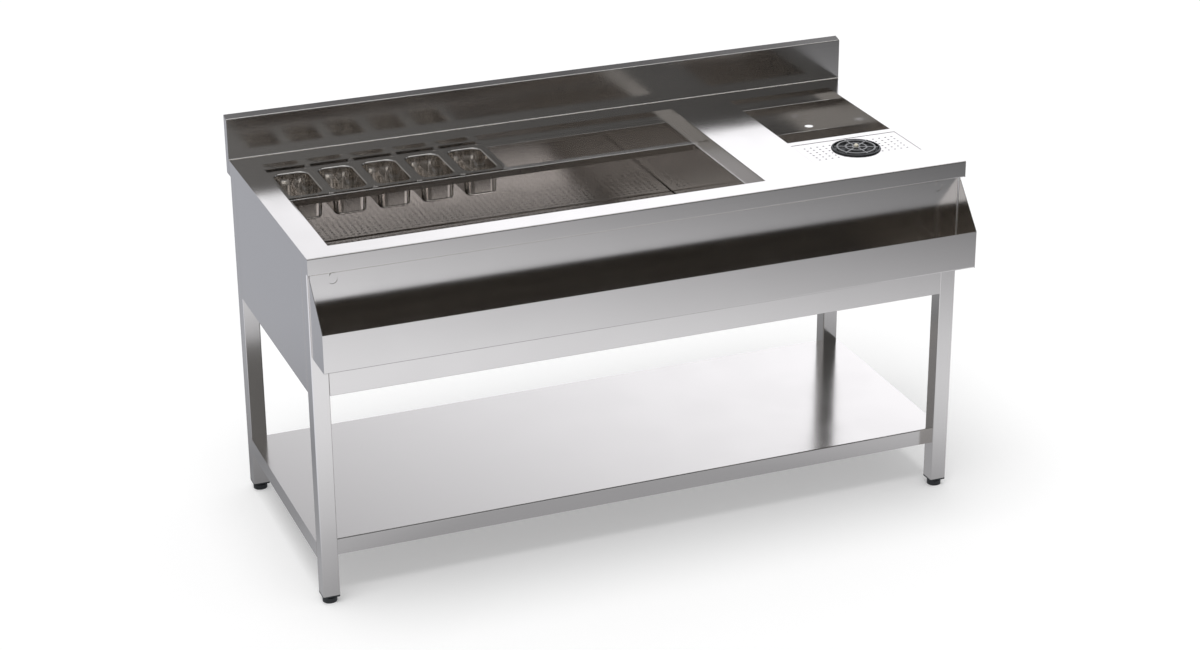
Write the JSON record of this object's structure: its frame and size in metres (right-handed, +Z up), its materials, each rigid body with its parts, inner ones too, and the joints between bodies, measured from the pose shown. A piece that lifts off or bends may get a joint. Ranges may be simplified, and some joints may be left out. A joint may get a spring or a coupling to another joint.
{
  "type": "bar station",
  "caption": "Free-standing stainless bar station with upstand, ice well with small pans, sink, glass rinser, front bottle rail and undershelf.",
  "frame": {"origin": "on the floor, at the middle of the length and of the overall depth", "axes": "+X to the user's right along the length, +Y from the user's side to the upstand, +Z up"},
  "size_m": [1.6, 0.775, 0.9653],
  "materials": {
    "stainless_worktop": "fine brushed stainless sheet",
    "stainless_sheet": "fine brushed stainless sheet",
    "stainless_tube": "brushed stainless square tube",
    "stainless_tub": "satin stainless, welded and ground",
    "stainless_fitting": "turned stainless",
    "polished_steel": "polished deep-drawn stainless",
    "galvanised_sheet": "galvanised casing sheet",
    "foam": "rigid insulating foam",
    "black_plastic": "moulded black plastic",
    "grey_plastic": "moulded dark grey plastic",
    "brass_nozzle": "turned brass",
    "spring_steel": "spring wire"
  },
  "bodies": {
    "station": {"worktop": "stainless_worktop", "upstand_cap_left": "stainless_worktop", "upstand_cap_right": "stainless_worktop", "undershelf": "stainless_sheet", "shelf_stiffener": "stainless_sheet", "side_panel_left": "stainless_sheet", "side_panel_right": "stainless_sheet", "front_apron": "stainless_sheet", "rear_beam": "stainless_sheet", "top_stiffener": "stainless_sheet", "well_collar": "stainless_worktop", "well_tub": "stainless_tub", "well_insulation": "foam", "well_casing": "galvanised_sheet", "well_drain": "stainless_fitting", "well_drain_nut": "black_plastic", "well_ledge": "stainless_sheet", "pan_rail": "stainless_sheet", "sink_collar": "stainless_worktop", "sink_basin": "stainless_tub", "sink_ledges": "stainless_sheet", "sink_drain_nut": "black_plastic", "drip_pan": "stainless_tub", "rinser_base": "black_plastic", "rinser_nut": "stainless_fitting", "rinser_nozzle": "brass_nozzle", "rinser_spring": "spring_steel", "hanging_studs": "stainless_fitting", "leg_front_left": "stainless_tube", "leg_plug_front_left": "black_plastic", "leg_rear_left": "stainless_tube", "leg_plug_rear_left": "black_plastic", "leg_front_right": "stainless_tube", "leg_plug_front_right": "black_plastic", "leg_rear_right": "stainless_tube", "leg_plug_rear_right": "black_plastic", "pan_bar_1": "stainless_sheet", "pan_bar_2": "stainless_sheet", "pan_bar_3": "stainless_sheet", "pan_bar_4": "stainless_sheet", "pan_bar_5": "stainless_sheet", "pan_bar_6": "stainless_sheet"},
    "foot_front_left": {"foot_front_left": "black_plastic"},
    "foot_rear_left": {"foot_rear_left": "black_plastic"},
    "foot_front_right": {"foot_front_right": "black_plastic"},
    "foot_rear_right": {"foot_rear_right": "black_plastic"},
    "pan_1": {"pan_1": "polished_steel"},
    "pan_2": {"pan_2": "polished_steel"},
    "pan_3": {"pan_3": "polished_steel"},
    "pan_4": {"pan_4": "polished_steel"},
    "pan_5": {"pan_5": "polished_steel"},
    "false_bottom": {"false_bottom": "stainless_tub"},
    "rinser_tray": {"rinser_tray": "stainless_worktop"},
    "rinser_spider": {"rinser_spider": "grey_plastic"},
    "bottle_rail": {"bottle_rail": "stainless_sheet", "bottle_rail_end_left": "stainless_sheet", "bottle_rail_end_right": "stainless_sheet"}
  },
  "joints": [
    {"name": "foot_front_left_screw", "type": "slide", "parent": "station", "child": "foot_front_left", "axis": [0, 0, -1], "range_m": [0, 0.015]},
    {"name": "foot_rear_left_screw", "type": "slide", "parent": "station", "child": "foot_rear_left", "axis": [0, 0, -1], "range_m": [0, 0.015]},
    {"name": "foot_front_right_screw", "type": "slide", "parent": "station", "child": "foot_front_right", "axis": [0, 0, -1], "range_m": [0, 0.015]},
    {"name": "foot_rear_right_screw", "type": "slide", "parent": "station", "child": "foot_rear_right", "axis": [0, 0, -1], "range_m": [0, 0.015]},
    {"name": "pan_1_lift", "type": "slide", "parent": "station", "child": "pan_1", "axis": [0, 0, 1], "range_m": [0, 0.1]},
    {"name": "pan_2_lift", "type": "slide", "parent": "station", "child": "pan_2", "axis": [0, 0, 1], "range_m": [0, 0.1]},
    {"name": "pan_3_lift", "type": "slide", "parent": "station", "child": "pan_3", "axis": [0, 0, 1], "range_m": [0, 0.1]},
    {"name": "pan_4_lift", "type": "slide", "parent": "station", "child": "pan_4", "axis": [0, 0, 1], "range_m": [0, 0.1]},
    {"name": "pan_5_lift", "type": "slide", "parent": "station", "child": "pan_5", "axis": [0, 0, 1], "range_m": [0, 0.1]},
    {"name": "false_bottom_lift", "type": "slide", "parent": "station", "child": "false_bottom", "axis": [0, 0, 1], "range_m": [0, 0.1]},
    {"name": "rinser_tray_lift", "type": "slide", "parent": "station", "child": "rinser_tray", "axis": [0, 0, 1], "range_m": [0, 0.06]},
    {"name": "rinser_spider_press", "type": "slide", "parent": "station", "child": "rinser_spider", "axis": [0, 0, -1], "range_m": [0, 0.004], "stiffness_N_per_m": 500, "springref_m": -0.002, "deforming": ["rinser_spring"]},
    {"name": "bottle_rail_lift", "type": "slide", "parent": "station", "child": "bottle_rail", "axis": [0, 0, 1], "range_m": [0, 0.009]}
  ]
}
